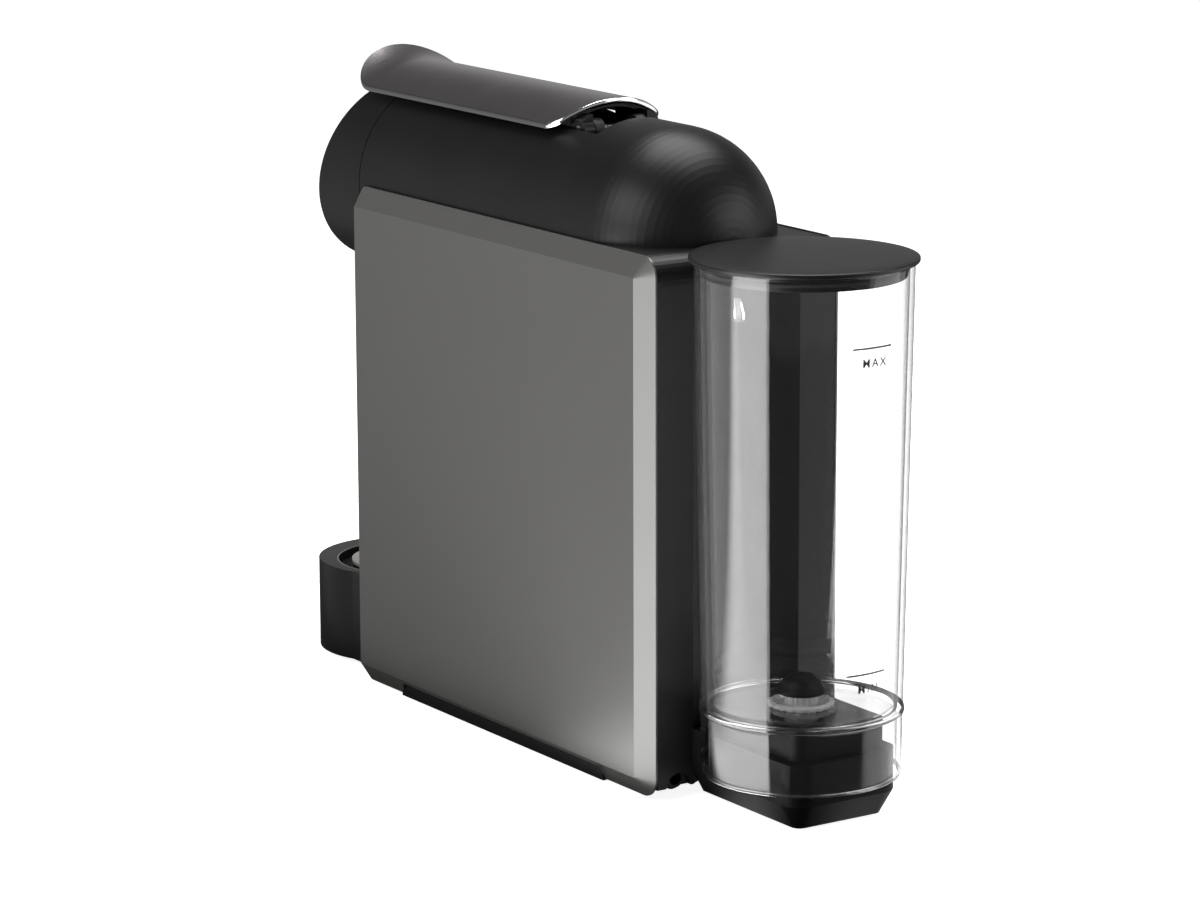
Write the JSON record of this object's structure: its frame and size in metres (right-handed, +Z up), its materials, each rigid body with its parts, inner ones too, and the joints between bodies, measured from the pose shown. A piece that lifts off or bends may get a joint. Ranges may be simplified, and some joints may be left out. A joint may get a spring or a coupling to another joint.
{
  "type": "pod coffee machine",
  "caption": "Slim pod coffee machine with chamfered side panels, a round brew head with an arched lever, a clear lift-off water tank and a round cup stand.",
  "frame": {"origin": "on the floor, in the middle of the machine's overall length and width", "axes": "+Z up; -Y towards the cup stand and the lever's lip, +Y towards the water tank; X across the machine"},
  "size_m": [0.105, 0.4244, 0.301],
  "materials": {
    "panel_grey": "satin grey lacquer",
    "core_black": "satin black",
    "head_black": "matte black",
    "lever_grey": "dark gunmetal satin",
    "tank_clear": "clear",
    "ring_grey": "satin",
    "steel": "plain",
    "alloy": "cast",
    "inner_black": "plain",
    "inner_white": "plain",
    "seal_rubber": "plain",
    "board_green": "plain",
    "hose_clear": "plain"
  },
  "bodies": {
    "body": {"side_panel_right": "panel_grey", "side_panel_left": "panel_grey", "base_tub": "core_black", "base_rails": "core_black", "rubber_feet": "seal_rubber", "rear_cover": "core_black", "top_deck": "core_black", "front_cover": "core_black", "head_shell": "head_black", "head_cap": "head_black", "spout": "core_black", "lever_pin": "steel", "hinge_bracket": "inner_black", "brew_chamber": "alloy", "brew_seal": "seal_rubber", "piercing_plate": "steel", "brew_frame": "inner_black", "capsule_chute": "inner_black", "bulkhead": "inner_black", "boiler": "alloy", "boiler_sensor": "inner_white", "pump": "inner_black", "pump_mounts": "seal_rubber", "flow_meter": "inner_white", "suction_hose": "hose_clear", "pressure_hose": "hose_clear", "brew_hose": "hose_clear", "power_board": "board_green", "board_posts": "inner_white", "button_board": "board_green", "button_switches": "inner_black", "lever_switch": "inner_black", "tank_dock": "core_black", "dock_seal": "seal_rubber", "dock_nipple": "inner_white", "feed_pipe": "inner_white", "cord_gland": "core_black", "panel_screws": "steel", "frame_screws": "steel"},
    "lever": {"lever_plate": "lever_grey", "lever_arm": "core_black"},
    "carriage": {"capsule_carriage": "inner_black"},
    "stand": {"cup_stand": "core_black", "capsule_bin": "core_black"},
    "grid": {"drip_grid": "core_black", "cup_ring": "ring_grey"},
    "tank": {"water_tank": "tank_clear", "valve_body": "tank_clear", "valve_cap": "core_black", "valve_spring": "steel"},
    "lid": {"tank_lid": "core_black", "lid_seal": "seal_rubber"},
    "valve": {"valve_plunger": "inner_white"},
    "small_button": {"button_small": "core_black"},
    "large_button": {"button_large": "core_black"}
  },
  "joints": [
    {"name": "lever_hinge", "type": "hinge", "parent": "body", "child": "lever", "pos_m": [0, 0.01895, 0.2815], "axis": [-1, 0, 0], "range_deg": [0, 84]},
    {"name": "carriage_slide", "type": "slide", "parent": "body", "child": "carriage", "axis": [0, -1, 0], "range_m": [0, 0.03222]},
    {"name": "stand_pull", "type": "slide", "parent": "body", "child": "stand", "axis": [0, -1, 0], "range_m": [0, 0.11]},
    {"name": "grid_lift", "type": "slide", "parent": "stand", "child": "grid", "axis": [0, 0, 1], "range_m": [0, 0.03]},
    {"name": "tank_lift", "type": "slide", "parent": "body", "child": "tank", "axis": [0, 0, 1], "range_m": [0, 0.06]},
    {"name": "lid_lift", "type": "slide", "parent": "tank", "child": "lid", "axis": [0, 0, 1], "range_m": [0, 0.03]},
    {"name": "valve_shut", "type": "slide", "parent": "tank", "child": "valve", "axis": [0, 0, -1], "range_m": [0, 0.0016], "deforming": ["valve_spring"]},
    {"name": "small_button_press", "type": "slide", "parent": "body", "child": "small_button", "axis": [0, 0.9627, -0.2706], "range_m": [0, 0.0015], "stiffness_N_per_m": 800, "springref_m": -0.0008},
    {"name": "large_button_press", "type": "slide", "parent": "body", "child": "large_button", "axis": [0, 0.9627, -0.2706], "range_m": [0, 0.0015], "stiffness_N_per_m": 800, "springref_m": -0.0008}
  ],
  "couplings": [
    {"joint": "carriage_slide", "follows": "lever_hinge", "m_per_rad": 0.021908},
    {"joint": "valve_shut", "follows": "tank_lift", "ratio": 0.0265}
  ]
}
